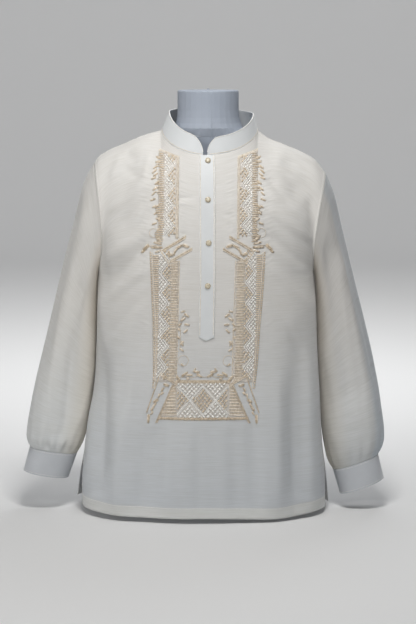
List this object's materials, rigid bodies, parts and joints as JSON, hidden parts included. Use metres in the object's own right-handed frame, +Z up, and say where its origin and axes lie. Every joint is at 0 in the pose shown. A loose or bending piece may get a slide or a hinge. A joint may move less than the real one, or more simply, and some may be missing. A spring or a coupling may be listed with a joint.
{
  "type": "barong tagalog shirt on a dress form",
  "caption": "Sheer long-sleeved pullover shirt with band collar, half placket and embroidered bib, worn open at neck, hem and cuffs by a limbless dress form.",
  "frame": {"origin": "middle of the dress form's flat base", "axes": "+Z up, the shirt's front faces -Y, +X towards the viewer's right when looking at the front"},
  "size_m": [0.717, 0.2768, 0.8305],
  "materials": {
    "cloth": "sheer ivory plain weave with fine crosswise slubs",
    "band": "smooth opaque white cloth",
    "thread": "beige and white embroidery thread with a soft shine",
    "button": "cream, softly glossy",
    "form": "smooth pale grey, satin"
  },
  "bodies": {
    "root": {"front_panel": "cloth", "back_panel": "cloth", "sleeve_left": "cloth", "sleeve_right": "cloth", "cuff_left": "band", "cuff_right": "band", "collar": "band", "placket": "band", "under_placket": "band", "embroidery_left": "thread", "embroidery_right": "thread", "embroidery_base": "thread", "button_1": "button", "button_2": "button", "button_3": "button", "button_4": "button", "cuff_button_left": "button", "cuff_button_right": "button", "dress_form": "form"}
  },
  "joints": []
}
